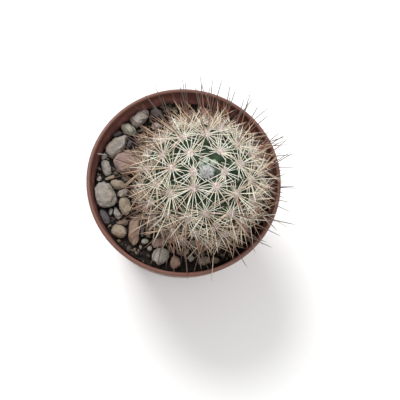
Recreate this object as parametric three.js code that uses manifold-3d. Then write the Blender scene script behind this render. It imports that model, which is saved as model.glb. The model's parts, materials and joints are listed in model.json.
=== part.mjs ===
// A potted round cactus: a spiny globular cactus standing off centre in a small moulded
// plastic pot, in dark soil dressed with loose gravel.
//
// Millimetres, +Z up. The origin is the middle of the pot's flat underside, on the ground.
// Seen from above, +X is to the right and +Y is up.

import * as THREE from 'three';
import { ConvexGeometry } from 'three/addons/geometries/ConvexGeometry.js';
import { mergeVertices } from 'three/addons/utils/BufferGeometryUtils.js';
import Module from 'manifold-3d';

const wasm = await Module();
wasm.setup();

// ---------------------------------------------------------------- driving dimensions

const CLEARANCE = 0.3; // gap that every piece keeps to its neighbours
const FACET_MARGIN = 0.05; // most that a flat facet cuts into a round surface
const ROUND_STEPS = 48; // facets round the pot and the soil

const POT = {
  height: 48,
  rimRadius: 27.5, // outside of the lip
  lipRadius: 0.6, // the lip's half thickness
  collarRadius: 26.4, // outside of the collar's lower edge
  collarInside: 25.2, // inside of the wall where the collar starts
  collarFoot: 41, // height where the collar starts
  baseRadius: 18.4,
  baseEdge: 0.7, // rounding of the bottom edge
  wall: 0.9,
  floor: 1.6,
};
const DRAIN = { count: 5, radius: 2.2, ringRadius: 11.5, facets: 14 };

const SOIL = { level: 42, dip: 0.35, rings: 8 };

const BALL = {
  x: 4.6, // the plant stands off the pot's middle
  y: -0.9,
  z: 48.4, // height of its widest part
  valley: 14.6, // radius between the tubercles
  relief: 2.3, // how far a tubercle stands out of the valley
  upper: 1.045, // height of the upper half against its radius
  lower: 0.72, // depth of the lower half against its radius
  fade: [-0.58, -0.35], // where the relief runs out, as heights on a ball of radius 1
  lean: 0.12, // tilt of the growing tip towards +X, radians
  detail: 9, // subdivision of the skin
};
const ROOT = { top: 39.5, tip: 28, topRadius: 4.5, tipRadius: 1.2, facets: 9 };

// Areoles sit on a spiral from the growing tip down, each one golden angle further round.
const AREOLES = {
  count: 65,
  start: 0.285, // share of a step between the tip and the youngest areole
  step: 0.02, // drop in the cosine of the tip angle per areole
  turn: THREE.MathUtils.degToRad(137.43),
  first: THREE.MathUtils.degToRad(114.6), // azimuth of the youngest
  reach: 0.22, // angular radius of one tubercle
  crown: 3.5, // radius round the growing tip that no needle reaches over
  grown: 8, // number of young areoles whose needles are still short
  youngLength: 0.45, // length of the first needles against grown ones
};
// How far each of the youngest areoles has drifted off the even spiral, towards the growing tip.
const DRIFTS = [0, 0, 0, 3.7, 4.6, 3.4, 0, 5.2, -2.2, 0, 0, 0, -3.5].map(THREE.MathUtils.degToRad);

// The kinds of needle on an areole. Upper is the length of a needle that points to the growing
// tip against one that points down, low and high are its slope over the skin in degrees,
// youngest is the first areole that has the kind, and share is how many of the others have it.
const CENTRALS = {
  youngest: 7, share: 0.85, count: 1,
  length: 11.7, spread: 2.1, upper: 1, radius: 0.27, low: 56, high: 76,
};
const LATERALS = {
  youngest: 3, share: 1, count: 2,
  length: 8.8, spread: 1.3, upper: 0.8, radius: 0.22, low: 32, high: 52,
};
const RADIALS = {
  youngest: 1, share: 1, count: 12,
  length: 8.1, spread: 1.2, upper: 0.5, radius: 0.21, low: 10, high: 28,
};
const NEEDLE_SINK = 1.0; // depth of a needle's root under its areole
const NEEDLE_SUNK = 1.3; // length of a needle that is inside its tubercle
const ROOT_SETBACK = 0.35; // how far off the areole's middle a needle is rooted
const NEEDLE_APART = 0.45; // least distance between two needles outside the body
const NEEDLE_TRIES = 60; // draws of a needle before it is left out, where all cross another
const NEEDLE_SIDES = 3;
const NEEDLE_CLEAR = 0.45; // distance of a needle from pot, soil and stones
const NEEDLE_PROBES = [0.15, 0.25, 0.35, 0.45, 0.55, 0.65, 0.75, 0.85, 0.95, 1]; // tested shares
const BEND = { steps: 24, each: 0.12 }; // how a needle is bent up, step by step, until it is clear

const SEED = 41;

const COLOURS = {
  pot: 0x9c5340,
  soil: 0x2b211d,
  cactus: 0xb9b08f,
  grey: 0xa39d96,
  pale: 0xb9bba4,
  tan: 0xa9957c,
  pink: 0xa58d83,
  orange: 0xa3714f,
  brown: 0x6b5546,
  slate: 0x54494f,
};

// Gravel that lies in sight: middle x and y, length, width, turn in degrees, colour.
// The order is from the back of the pot round the left side to the front.
const SEEN_STONES = [
  [-7.9, 21.6, 3.4, 2.3, -20, 'slate'],
  [-7.9, 17.5, 2.9, 2.3, 0, 'grey'],
  [-12.8, 19.9, 5.7, 4.1, 55, 'grey'],
  [-11.9, 14.2, 3.1, 2.3, 30, 'brown'],
  [-15.8, 16.4, 4.6, 2.7, -25, 'pale'],
  [-19.1, 15.0, 2.6, 1.8, 20, 'slate'],
  [-19.1, 11.0, 7.6, 4.5, 48, 'grey'],
  [-15.6, 12.0, 2.6, 1.9, 75, 'slate'],
  [-22.7, 8.3, 2.3, 1.5, 60, 'grey'],
  [-15.5, 6.3, 9.4, 6.0, -4, 'pink'],
  [-22.0, 4.9, 4.9, 2.5, -75, 'grey'],
  [-24.0, 1.5, 1.7, 1.4, 70, 'grey'],
  [-21.0, 1.9, 2.9, 1.3, 20, 'tan'],
  [-18.8, -0.1, 4.0, 2.6, -12, 'tan'],
  [-22.0, -3.5, 7.4, 5.8, 100, 'grey'],
  [-16.7, -6.4, 5.1, 3.2, 100, 'tan'],
  [-18.8, -8.5, 3.4, 1.9, -60, 'grey'],
  [-20.5, -8.1, 2.0, 1.5, 80, 'grey'],
  [-22.4, -9.4, 4.6, 2.3, -60, 'slate'],
  [-17.2, -11.3, 3.4, 1.7, 10, 'brown'],
  [-18.1, -13.7, 4.1, 3.5, -30, 'tan'],
  [-13.7, -13.6, 8.0, 3.6, 84, 'orange'],
  [-11.6, -12.9, 4.3, 1.5, 86, 'slate'],
  [-9.8, -13.3, 5.1, 2.0, 88, 'brown'],
  [-10.8, -16.5, 2.1, 1.5, 15, 'pale'],
  [-7.2, -17.2, 3.4, 2.6, 20, 'pink'],
  [-9.4, -18.6, 1.5, 1.4, 0, 'grey'],
  [-6.3, -20.7, 4.9, 4.1, 45, 'grey'],
  [-0.1, -19.6, 3.4, 2.0, 0, 'brown'],
  [2.2, -21.2, 2.0, 1.5, 80, 'pale'],
  [6.0, -22.0, 3.4, 2.3, 10, 'tan'],
  [8.9, -21.9, 2.6, 1.8, 0, 'brown'],
];
// Gravel under the needles, scattered by a seeded draw in what room is left.
const HIDDEN_STONES = {
  count: 24,
  shortest: 2.2,
  longest: 4.2,
  nearest: 15.1, // middle's least and most distance from the plant's upright axis
  furthest: 23.5,
  packing: 0.85, // below 1, neighbours press flats into each other
  tries: 4000,
  tones: ['grey', 'tan', 'brown', 'grey', 'slate', 'orange', 'pink'],
};
const LARGE_STONE = 3.7; // length from which a stone has finer facets
const STONE_FLATNESS = 0.8; // height of a stone against its width
const STONE_SWELL = 1.12; // makes up for the flats that are worn into a stone
const STONE_SQUARENESS = 3; // 2 is an ellipsoid, and a larger number comes closer to a box
const STONE_SUNK = 0.22; // share of its height that is pressed flat on the soil
const STONE_FACETS = { count: 6, nearest: 0.78, furthest: 0.98 };

// ---------------------------------------------------------------- helpers

const UP = new THREE.Vector3(0, 0, 1);
const ball = new THREE.Vector3(BALL.x, BALL.y, BALL.z);

/** A repeatable stream of numbers from 0 to 1. */
function randomStream(seed) {
  let state = seed;
  return () => {
    state = (state + 0x6d2b79f5) | 0;
    let bits = Math.imul(state ^ (state >>> 15), 1 | state);
    bits = (bits + Math.imul(bits ^ (bits >>> 7), 61 | bits)) ^ bits;
    return ((bits ^ (bits >>> 14)) >>> 0) / 4294967296;
  };
}

const between = (random, low, high) => low + (high - low) * random();

/** The geometry with its shared vertices joined and only their positions left. */
function joined(geometry) {
  const bare = geometry.clone();
  bare.deleteAttribute('normal');
  bare.deleteAttribute('uv');
  return mergeVertices(bare, 1e-4);
}

/** Moves every vertex of a geometry by a function that changes the vector it is given. */
function reshape(geometry, change) {
  const position = geometry.attributes.position;
  const point = new THREE.Vector3();
  for (let i = 0; i < position.count; i += 1) {
    point.fromBufferAttribute(position, i);
    change(point, i);
    position.setXYZ(i, point.x, point.y, point.z);
  }
  return geometry;
}

/** A closed geometry as a solid that can be joined and cut. */
function solidOf(geometry) {
  const shell = joined(geometry);
  return new wasm.Manifold(new wasm.Mesh({
    numProp: 3,
    vertProperties: new Float32Array(shell.attributes.position.array),
    triVerts: new Uint32Array(shell.index.array),
  }));
}

/** The geometry of a solid. */
function geometryOf(solid) {
  const shell = solid.getMesh();
  const geometry = new THREE.BufferGeometry();
  geometry.setAttribute('position', new THREE.BufferAttribute(shell.vertProperties, 3));
  geometry.setIndex(new THREE.BufferAttribute(shell.triVerts, 1));
  return geometry;
}

/** A named mesh with its own material. */
function piece(name, geometry, colour, roughness) {
  const material = new THREE.MeshStandardMaterial({ color: COLOURS[colour], roughness, metalness: 0 });
  const mesh = new THREE.Mesh(geometry, material);
  mesh.name = name;
  return mesh;
}

/** Turns a profile of [radius, height] points round the upright axis. */
function turned(profile) {
  const points = profile.map(([radius, height]) => new THREE.Vector2(radius, height));
  return new THREE.LatheGeometry(points, ROUND_STEPS).rotateX(Math.PI / 2);
}

// ---------------------------------------------------------------- pot

const lipMiddle = POT.rimRadius - POT.lipRadius;
const lipFoot = POT.height - POT.lipRadius; // height of the lip's middle
const wallInsideTop = lipMiddle - POT.lipRadius;
const wallInsideFloor = POT.baseRadius - POT.wall;

/** Inside radius of the pot's wall at a height. */
function insideWall(z) {
  if (z > POT.collarFoot) {
    const share = Math.min(1, (z - POT.collarFoot) / (lipFoot - POT.collarFoot));
    return THREE.MathUtils.lerp(POT.collarInside, wallInsideTop, share);
  }
  const share = (z - POT.floor) / (POT.collarFoot - POT.floor);
  return THREE.MathUtils.lerp(wallInsideFloor, POT.collarInside, share);
}

/** The moulded pot: tapered wall, collar with a rolled lip, flat floor with drain holes. */
function makePot() {
  const lip = [];
  for (let step = 0; step <= 4; step += 1) {
    const angle = THREE.MathUtils.degToRad(-45 + step * 56);
    lip.push([
      lipMiddle + POT.lipRadius * Math.cos(angle),
      lipFoot + POT.lipRadius * Math.sin(angle),
    ]);
  }
  const shell = solidOf(turned([
    [0, 0],
    [POT.baseRadius - POT.baseEdge, 0],
    [POT.baseRadius, POT.baseEdge],
    [POT.collarInside + POT.wall, POT.collarFoot - 0.4],
    [POT.collarRadius, POT.collarFoot],
    [lipMiddle, lipFoot - POT.lipRadius],
    ...lip,
    [POT.collarInside, POT.collarFoot],
    [wallInsideFloor, POT.floor],
    [0, POT.floor],
  ]));
  let pot = shell;
  for (let hole = 0; hole < DRAIN.count; hole += 1) {
    const angle = (hole / DRAIN.count) * 2 * Math.PI;
    const drill = new THREE.CylinderGeometry(DRAIN.radius, DRAIN.radius, 3 * POT.floor, DRAIN.facets)
      .rotateX(Math.PI / 2)
      .translate(DRAIN.ringRadius * Math.cos(angle), DRAIN.ringRadius * Math.sin(angle), 0);
    pot = pot.subtract(solidOf(drill));
  }
  return piece('pot', geometryOf(pot), 'pot', 0.55);
}

// ---------------------------------------------------------------- soil

// Radius and depth of the bowl that the plant's underside rests in.
const bowlRadius = BALL.valley + FACET_MARGIN + CLEARANCE;
const bowlDepth = BALL.valley * BALL.lower + FACET_MARGIN + CLEARANCE;

/** Height of the bowl's surface at a radius from the plant's upright axis. */
function bowlHeight(radius) {
  return BALL.z - bowlDepth * Math.sqrt(1 - (radius / bowlRadius) ** 2);
}

/** The soil: fills the pot, with a plain hole for the plant's underside and root. */
function makeSoil() {
  const mouth = bowlRadius * Math.sqrt(1 - ((BALL.z - SOIL.level) / bowlDepth) ** 2);
  const edge = insideWall(SOIL.level) - CLEARANCE;
  const bottom = POT.floor + CLEARANCE;
  const neck = ROOT.topRadius + FACET_MARGIN + CLEARANCE;
  // Each row: radius, height, share of the plant's offset, whether it is on the open surface.
  const rows = [
    { radius: 0, z: bottom, offset: 0 },
    { radius: insideWall(bottom) - CLEARANCE, z: bottom, offset: 0 },
  ];
  for (let ring = 0; ring <= SOIL.rings; ring += 1) {
    const share = ring / SOIL.rings;
    const radius = THREE.MathUtils.lerp(edge, mouth, share);
    rows.push({ radius, z: SOIL.level, offset: share, open: ring > 0 && ring < SOIL.rings });
  }
  for (const radius of [(mouth + neck) / 2, neck]) {
    rows.push({ radius, z: bowlHeight(radius), offset: 1 });
  }
  rows.push({ radius: ROOT.tipRadius + CLEARANCE, z: ROOT.tip - CLEARANCE, offset: 1 });
  rows.push({ radius: 0, z: ROOT.tip - CLEARANCE, offset: 1 });

  const soil = turned(rows.map((row) => [row.radius, row.z]));
  reshape(soil, (point, i) => {
    const row = rows[i % rows.length];
    if (row.open) point.z -= SOIL.dip * (0.5 + 0.5 * Math.sin(1.3 * point.x) * Math.cos(1.1 * point.y));
    point.x += row.offset * BALL.x;
    point.y += row.offset * BALL.y;
  });
  return piece('soil', geometryOf(solidOf(soil)), 'soil', 0.95);
}

// ---------------------------------------------------------------- stones

/** One stone: its middle, half sizes and own axes, before its shape is drawn. */
function layStone([x, y, length, width, turn, tone]) {
  const height = width * STONE_FLATNESS;
  const angle = THREE.MathUtils.degToRad(turn);
  return {
    middle: new THREE.Vector3(x, y, SOIL.level + CLEARANCE + height * (0.5 - STONE_SUNK)),
    halves: [length, width, height].map((size) => (size * STONE_SWELL) / 2),
    axes: [
      new THREE.Vector3(Math.cos(angle), Math.sin(angle), 0),
      new THREE.Vector3(-Math.sin(angle), Math.cos(angle), 0),
      UP.clone(),
    ],
    tone,
  };
}

/** How far a stone reaches from its middle along a direction. */
function reachOf(stone, direction) {
  const power = STONE_SQUARENESS / (STONE_SQUARENESS - 1);
  const terms = stone.halves.map((half, k) => Math.abs(half * stone.axes[k].dot(direction)) ** power);
  return (terms[0] + terms[1] + terms[2]) ** (1 / power);
}

/** Moves a point of the unit ball out onto a squarer one. */
function squared(point) {
  const terms = point.toArray().map((value) => Math.abs(value) ** STONE_SQUARENESS);
  return point.divideScalar((terms[0] + terms[1] + terms[2]) ** (1 / STONE_SQUARENESS));
}

/** Adds stones in the room that is left between the plant and the wall. */
function scatterStones(stones, random) {
  let added = 0;
  for (let attempt = 0; attempt < HIDDEN_STONES.tries && added < HIDDEN_STONES.count; attempt += 1) {
    const angle = between(random, -Math.PI, Math.PI);
    const length = between(random, HIDDEN_STONES.shortest, HIDDEN_STONES.longest);
    const radius = between(random, HIDDEN_STONES.nearest, HIDDEN_STONES.furthest);
    const stone = layStone([
      BALL.x + radius * Math.cos(angle),
      BALL.y + radius * Math.sin(angle),
      length,
      length * between(random, 0.6, 0.85),
      between(random, 0, 180),
      HIDDEN_STONES.tones[added % HIDDEN_STONES.tones.length],
    ]);
    const inPot = Math.hypot(stone.middle.x, stone.middle.y) < insideWall(SOIL.level) - length / 2;
    const free = stones.every((other) => {
      const towards = other.middle.clone().sub(stone.middle).setZ(0);
      const gap = towards.length();
      towards.normalize();
      return gap > HIDDEN_STONES.packing * (reachOf(stone, towards) + reachOf(other, towards));
    });
    if (inPot && free) {
      stones.push(stone);
      added += 1;
    }
  }
  return stones;
}

/** The flat faces where a stone touches others, as planes that its vertices stay behind. */
function contactPlanes(stone, others) {
  const planes = [];
  for (const other of others) {
    const apart = other.middle.clone().sub(stone.middle);
    const { axes } = stone;
    const normals = [apart.clone().normalize(), axes[1], other.axes[1], axes[0], other.axes[0], UP]
      .map((axis) => (axis.dot(apart) < 0 ? axis.clone().negate() : axis.clone()));
    const overlaps = normals.map((n) => reachOf(stone, n) + reachOf(other, n) + CLEARANCE - n.dot(apart));
    const least = Math.min(...overlaps);
    if (least > 0) {
      const normal = normals[overlaps.indexOf(least)];
      const share = reachOf(stone, normal) / (reachOf(stone, normal) + reachOf(other, normal));
      const distance = normal.dot(stone.middle) + share * normal.dot(apart) - CLEARANCE / 2;
      planes.push({ normal, distance });
    }
  }
  return planes;
}

/** The flat face of a stone that lies against the plant's body. */
function plantPlane(stone) {
  const inward = ball.clone().sub(stone.middle).normalize();
  const radius = BALL.valley + BALL.relief;
  const reach = radius * Math.hypot(inward.x, inward.y, BALL.lower * inward.z);
  return { normal: inward, distance: inward.dot(ball) - reach - CLEARANCE };
}

/** A piece of gravel: a blocky stone worn flat in places, and flat where it touches others.
 *  Its skin is the hull of its worn points, so that no flat folds over the next one. */
function makeStone(stone, others, random) {
  const facets = [];
  for (let facet = 0; facet < STONE_FACETS.count; facet += 1) {
    const normal = new THREE.Vector3(
      between(random, -1, 1),
      between(random, -1, 1),
      between(random, -0.4, 1),
    ).normalize();
    facets.push({ normal, distance: between(random, STONE_FACETS.nearest, STONE_FACETS.furthest) });
  }
  const pressed = [...contactPlanes(stone, others), plantPlane(stone)];
  const flatten = (point, { normal, distance }) => {
    const beyond = point.dot(normal) - distance;
    if (beyond > 0) point.addScaledVector(normal, -beyond);
  };
  const large = stone.halves[0] > LARGE_STONE / 2;
  const rough = joined(large ? new THREE.IcosahedronGeometry(1, 1) : new THREE.DodecahedronGeometry(1));
  const points = [];
  reshape(rough, (point) => {
    squared(point);
    facets.forEach((plane) => flatten(point, plane));
    const local = point.toArray();
    point.copy(stone.middle);
    stone.axes.forEach((axis, k) => point.addScaledVector(axis, local[k] * stone.halves[k]));
    pressed.forEach((plane) => flatten(point, plane));
    point.z = Math.max(point.z, SOIL.level + CLEARANCE);
    const room = insideWall(point.z) - CLEARANCE - FACET_MARGIN;
    const out = Math.hypot(point.x, point.y);
    if (out > room) {
      point.x *= room / out;
      point.y *= room / out;
    }
    points.push(point.clone());
  });
  return joined(new ConvexGeometry(points));
}

// ---------------------------------------------------------------- cactus

/** The direction at an angle from the growing tip and an azimuth round it. */
function leaning(fromTip, azimuth) {
  const out = Math.sin(fromTip);
  return new THREE.Vector3(out * Math.cos(azimuth), out * Math.sin(azimuth), Math.cos(fromTip))
    .applyAxisAngle(new THREE.Vector3(0, 1, 0), BALL.lean);
}

/** Direction from the ball's middle to each areole, youngest first. */
function areoleDirections() {
  const directions = [];
  for (let i = 0; i < AREOLES.count; i += 1) {
    const fromTip = Math.acos(1 - (i + AREOLES.start) * AREOLES.step) - (DRIFTS[i] ?? 0);
    directions.push(leaning(fromTip, AREOLES.first - i * AREOLES.turn));
  }
  return directions;
}

/** Puts a direction from the ball's middle on the body, at a distance before it is squashed. */
function onBody(direction, distance) {
  const squash = direction.z > 0 ? BALL.upper : BALL.lower;
  return new THREE.Vector3(
    ball.x + direction.x * distance,
    ball.y + direction.y * distance,
    ball.z + direction.z * distance * squash,
  );
}

/** The body's skin: a ball raised into a tubercle round each areole, smooth below the soil. */
function makeBody(areoles) {
  const skin = joined(new THREE.IcosahedronGeometry(1, BALL.detail));
  const directions = [];
  reshape(skin, (point) => directions.push(point.clone().normalize()));
  // One vertex is drawn onto each areole, so that every tubercle has its full height.
  for (const areole of areoles) {
    const angles = directions.map((direction) => areole.angleTo(direction));
    directions[angles.indexOf(Math.min(...angles))].copy(areole);
  }
  return reshape(skin, (point, i) => {
    const nearest = Math.min(...areoles.map((areole) => areole.angleTo(directions[i])));
    const rise = 0.5 + 0.5 * Math.cos(Math.PI * Math.min(1, nearest / AREOLES.reach));
    const aboveSoil = THREE.MathUtils.smoothstep(directions[i].z, ...BALL.fade);
    point.copy(onBody(directions[i], BALL.valley + BALL.relief * rise * aboveSoil));
  });
}

/** A needle's straight three-sided spike, from its root along a direction. */
function makeNeedle(root, direction, length, radius) {
  const spike = new THREE.ConeGeometry(radius, length, NEEDLE_SIDES).translate(0, length / 2, 0);
  spike.applyQuaternion(new THREE.Quaternion().setFromUnitVectors(new THREE.Vector3(0, 1, 0), direction));
  return spike.translate(root.x, root.y, root.z);
}

/** Whether a point has room round it: over the soil and stones, and inside or above the pot. */
function hasRoom(point, stoneBoxes) {
  if (point.z < SOIL.level + NEEDLE_CLEAR) return false;
  const out = Math.hypot(point.x, point.y);
  if (point.z < POT.height + NEEDLE_CLEAR && out > insideWall(point.z) - NEEDLE_CLEAR) return false;
  return !stoneBoxes.some((box) => point.z < box.max.z && box.containsPoint(point));
}

/** Bends a needle upwards until its whole length has room; null where it can't be cleared. */
function bentClear(root, direction, length, stoneBoxes) {
  const bent = direction.clone();
  for (let step = 0; step < BEND.steps; step += 1) {
    const clear = NEEDLE_PROBES.every((share) => (
      hasRoom(root.clone().addScaledVector(bent, share * length), stoneBoxes)
    ));
    if (clear) return bent;
    bent.addScaledVector(UP, BEND.each).normalize();
  }
  return null;
}

/** A draw of one needle on an areole: its root, direction, length and the part outside the body. */
function drawNeedle(areole, kind, place, growth, stoneBoxes, random) {
  const tip = onBody(areole, BALL.valley + BALL.relief);
  const squash = areole.z > 0 ? BALL.upper : BALL.lower;
  const normal = new THREE.Vector3(areole.x, areole.y, areole.z / squash).normalize();
  const side = UP.clone().cross(normal).normalize();
  const ahead = normal.clone().cross(side);
  const round = ((place + between(random, -0.25, 0.25)) / kind.count) * 2 * Math.PI;
  const rise = THREE.MathUtils.degToRad(between(random, kind.low, kind.high));
  const outward = side.multiplyScalar(Math.cos(round)).addScaledVector(ahead, Math.sin(round));
  const direction = outward.clone().multiplyScalar(Math.cos(rise)).addScaledVector(normal, Math.sin(rise));
  const root = tip.addScaledVector(normal, -NEEDLE_SINK).addScaledVector(outward, ROOT_SETBACK);
  const reach = THREE.MathUtils.lerp(1, kind.upper, 0.5 + 0.5 * Math.sin(round));
  const length = growth * reach * (kind.length + between(random, -kind.spread, kind.spread)) + NEEDLE_SINK;
  const bent = bentClear(root, direction, length, stoneBoxes);
  if (!bent) return null;
  const free = new THREE.Line3(
    root.clone().addScaledVector(bent, NEEDLE_SUNK),
    root.clone().addScaledVector(bent, length),
  );
  return { root, direction: bent, length, free };
}

/** The needles of every areole: a wheel of radials, and longer ones in its middle, none crossing. */
function makeNeedles(areoles, stoneBoxes, random) {
  const needles = [];
  const placed = [];
  // The growing tip's own line, from the body's middle out past the longest needles.
  const axis = new THREE.Line3(ball, onBody(leaning(0, 0), 2 * BALL.valley));
  const isFree = ({ free }) => (
    free.distanceSqToLine3(axis) > AREOLES.crown ** 2
      && placed.every((other) => free.distanceSqToLine3(other) > NEEDLE_APART ** 2)
  );
  areoles.forEach((areole, i) => {
    const growth = THREE.MathUtils.lerp(AREOLES.youngLength, 1, Math.min(1, i / AREOLES.grown));
    const phase = random();
    for (const kind of [CENTRALS, LATERALS, RADIALS]) {
      const number = i >= kind.youngest && random() < kind.share ? kind.count : 0;
      for (let k = 0; k < number; k += 1) {
        for (let attempt = 0; attempt < NEEDLE_TRIES; attempt += 1) {
          const needle = drawNeedle(areole, kind, k + phase, growth, stoneBoxes, random);
          if (needle && isFree(needle)) {
            placed.push(needle.free);
            needles.push(makeNeedle(needle.root, needle.direction, needle.length, kind.radius));
            break;
          }
        }
      }
    }
  });
  return needles;
}

/** The whole plant as one solid: body, root and needles, each needle sunk into its tubercle. */
function makeCactus(stoneBoxes) {
  const random = randomStream(SEED + 3);
  const areoles = areoleDirections();
  const rootLength = ROOT.top - ROOT.tip;
  const root = new THREE.CylinderGeometry(ROOT.topRadius, ROOT.tipRadius, rootLength, ROOT.facets)
    .rotateX(Math.PI / 2)
    .translate(BALL.x, BALL.y, ROOT.tip + rootLength / 2);
  let plant = solidOf(makeBody(areoles)).add(solidOf(root));
  for (const needle of makeNeedles(areoles, stoneBoxes, random)) {
    plant = plant.add(solidOf(needle));
  }
  return piece('cactus', geometryOf(plant), 'cactus', 0.6);
}

// ---------------------------------------------------------------- assembly

const group = new THREE.Group();
group.add(makePot());
group.add(makeSoil());

const random = randomStream(SEED);
const stones = scatterStones(SEEN_STONES.map(layStone), random);
const stoneBoxes = [];
stones.forEach((stone, index) => {
  const others = stones.filter((other) => other !== stone);
  const geometry = makeStone(stone, others, random);
  geometry.computeBoundingBox();
  stoneBoxes.push(geometry.boundingBox.clone().expandByScalar(NEEDLE_CLEAR));
  const number = String(index + 1).padStart(2, '0');
  group.add(piece(`stone_${number}`, geometry, stone.tone, 0.8));
});

group.add(makeCactus(stoneBoxes));

export default group;
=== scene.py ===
"""Potted round cactus: the fine pieces that dress a pot, its soil, its gravel and its plant.

Everything is in metres, with +Z up and the origin in the middle of the pot's underside.
"""

import json
import math
import random

import bmesh
import bpy
from bpy.props import FloatProperty, FloatVectorProperty, IntProperty, PointerProperty
from mathutils import Matrix, Vector, noise
from mathutils.bvhtree import BVHTree
from mathutils.kdtree import KDTree


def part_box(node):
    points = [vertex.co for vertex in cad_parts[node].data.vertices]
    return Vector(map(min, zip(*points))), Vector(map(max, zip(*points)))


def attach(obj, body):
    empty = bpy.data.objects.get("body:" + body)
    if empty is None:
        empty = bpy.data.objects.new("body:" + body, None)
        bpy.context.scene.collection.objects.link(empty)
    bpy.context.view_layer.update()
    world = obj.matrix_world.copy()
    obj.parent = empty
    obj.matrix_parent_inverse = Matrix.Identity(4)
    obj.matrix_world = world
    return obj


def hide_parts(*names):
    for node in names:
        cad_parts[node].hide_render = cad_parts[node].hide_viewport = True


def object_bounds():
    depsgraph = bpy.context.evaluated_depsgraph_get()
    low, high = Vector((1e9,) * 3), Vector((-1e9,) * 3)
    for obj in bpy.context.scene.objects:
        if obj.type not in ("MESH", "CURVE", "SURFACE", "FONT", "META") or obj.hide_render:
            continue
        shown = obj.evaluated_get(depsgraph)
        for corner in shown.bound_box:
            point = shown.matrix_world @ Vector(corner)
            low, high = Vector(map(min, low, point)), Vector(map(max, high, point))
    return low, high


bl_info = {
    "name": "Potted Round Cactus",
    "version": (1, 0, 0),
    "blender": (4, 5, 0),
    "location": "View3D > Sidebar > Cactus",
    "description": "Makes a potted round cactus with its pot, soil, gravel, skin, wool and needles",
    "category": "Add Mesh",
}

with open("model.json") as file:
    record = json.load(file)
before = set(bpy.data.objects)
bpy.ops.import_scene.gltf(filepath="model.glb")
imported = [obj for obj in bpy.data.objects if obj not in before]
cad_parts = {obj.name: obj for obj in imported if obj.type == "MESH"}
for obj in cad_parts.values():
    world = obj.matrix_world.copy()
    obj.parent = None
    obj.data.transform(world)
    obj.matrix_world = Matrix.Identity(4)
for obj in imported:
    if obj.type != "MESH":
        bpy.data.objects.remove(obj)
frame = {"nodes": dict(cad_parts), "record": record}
CAD_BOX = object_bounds()

MM = 0.001
FULL_TURN = 2 * math.pi
UP = Vector((0, 0, 1))
JOINED = 0.001 * MM  # points that are closer than this are one
POT_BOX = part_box("pot")
SOIL_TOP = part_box("soil")[1].z
LATERAL_SLOPE, CENTRAL_SLOPE = 0.50, 0.81  # sine of a needle's least angle to the skin, by kind
# Degrees that each of the youngest areoles has drifted off the even spiral, towards the tip.
DRIFTS = (0, 0, 0, 3.7, 4.6, 3.4, 0, 5.2, -2.2, 0, 0, 0, -3.5)
# The bare tubercles at the tip: degrees from the tip, azimuth and radius in degrees.
YOUNG_BUMPS = ((9.6, 120, 4.2), (6.2, 60, 3.9), (10.9, 161, 3.5))
# The white tuft at the tip: degrees from the tip, and azimuth.
TUFT_PLACE = (7.0, -130)
STONE_NODES = sorted(name for name in frame["nodes"] if name.startswith("stone_"))
NODE_SLOTS = {part["node"]: part["material_slot"] for part in frame["record"]["subparts"]}


# ---------------------------------------------------------------- settings


def length(name, millimetres, description):
    """A length, given in millimetres."""
    return FloatProperty(
        name=name, description=description, default=millimetres * MM,
        subtype="DISTANCE", unit="LENGTH", precision=5,
    )


def angle(name, degrees, description):
    """An angle, given in degrees."""
    return FloatProperty(
        name=name, description=description, default=math.radians(degrees),
        subtype="ANGLE", unit="ROTATION",
    )


def spot(name, millimetres, description):
    """A place, given in millimetres."""
    return FloatVectorProperty(
        name=name, description=description, default=[value * MM for value in millimetres], size=3,
        subtype="TRANSLATION", unit="LENGTH", precision=5,
    )


def share(name, value, description):
    """A plain number that has no unit."""
    return FloatProperty(name=name, description=description, default=value, precision=4)


def count(name, value, description):
    """A whole number of things."""
    return IntProperty(name=name, description=description, default=value, min=0)


def colour(name, value, description):
    """A colour, as linear red, green and blue."""
    return FloatVectorProperty(
        name=name, description=description, default=value, size=3, min=0, max=1, subtype="COLOR",
    )


class PotSettings(bpy.types.PropertyGroup):
    rim_radius: length("Rim radius", POT_BOX[1].x / MM, "Outside of the lip")
    height: length("Height", POT_BOX[1].z / MM, "From the ground to the top of the lip")
    lip_radius: length("Lip radius", 0.6, "Half the thickness of the rolled lip")
    collar_radius: length("Collar radius", 26.4, "Outside of the collar's lower edge")
    collar_inside: length("Collar inside", 25.2, "Inside of the wall where the collar starts")
    collar_foot: length("Collar foot", 41.0, "Height where the collar starts")
    base_radius: length("Base radius", 18.4, "Outside of the pot at the ground")
    edge_radius: length("Edge radius", 0.7, "Rounding of the bottom edge")
    wall: length("Wall", 0.9, "Thickness of the wall")
    floor: length("Floor", 1.6, "Thickness of the floor")
    drain_radius: length("Drain radius", 2.2, "Radius of a drain hole")
    drain_ring: length("Drain ring", 11.5, "Distance of the drain holes from the middle")
    drain_count: count("Drain holes", 5, "Holes in the floor")
    facets: count("Facets", 160, "Steps round the pot")
    plastic: colour("Plastic", (0.148, 0.058, 0.041), "Colour of the moulded plastic")
    # Dust and lime on the plastic; on the lip's top it is also a painted highlight.
    dust_and_painted_highlight: colour("Dust", (0.245, 0.165, 0.135), "Dried dust and lime on the plastic")
    # Both colours inside are much lighter than the plastic: painted light on the shaded inner wall, over a
    # damp stain and a band of dried silt.
    stain_and_painted_light: colour("Stain", (0.52, 0.19, 0.17), "Damp stain inside, over the soil")
    silt_and_painted_light: colour("Silt", (0.195, 0.130, 0.122), "Dried silt on the wall along the soil")


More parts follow.
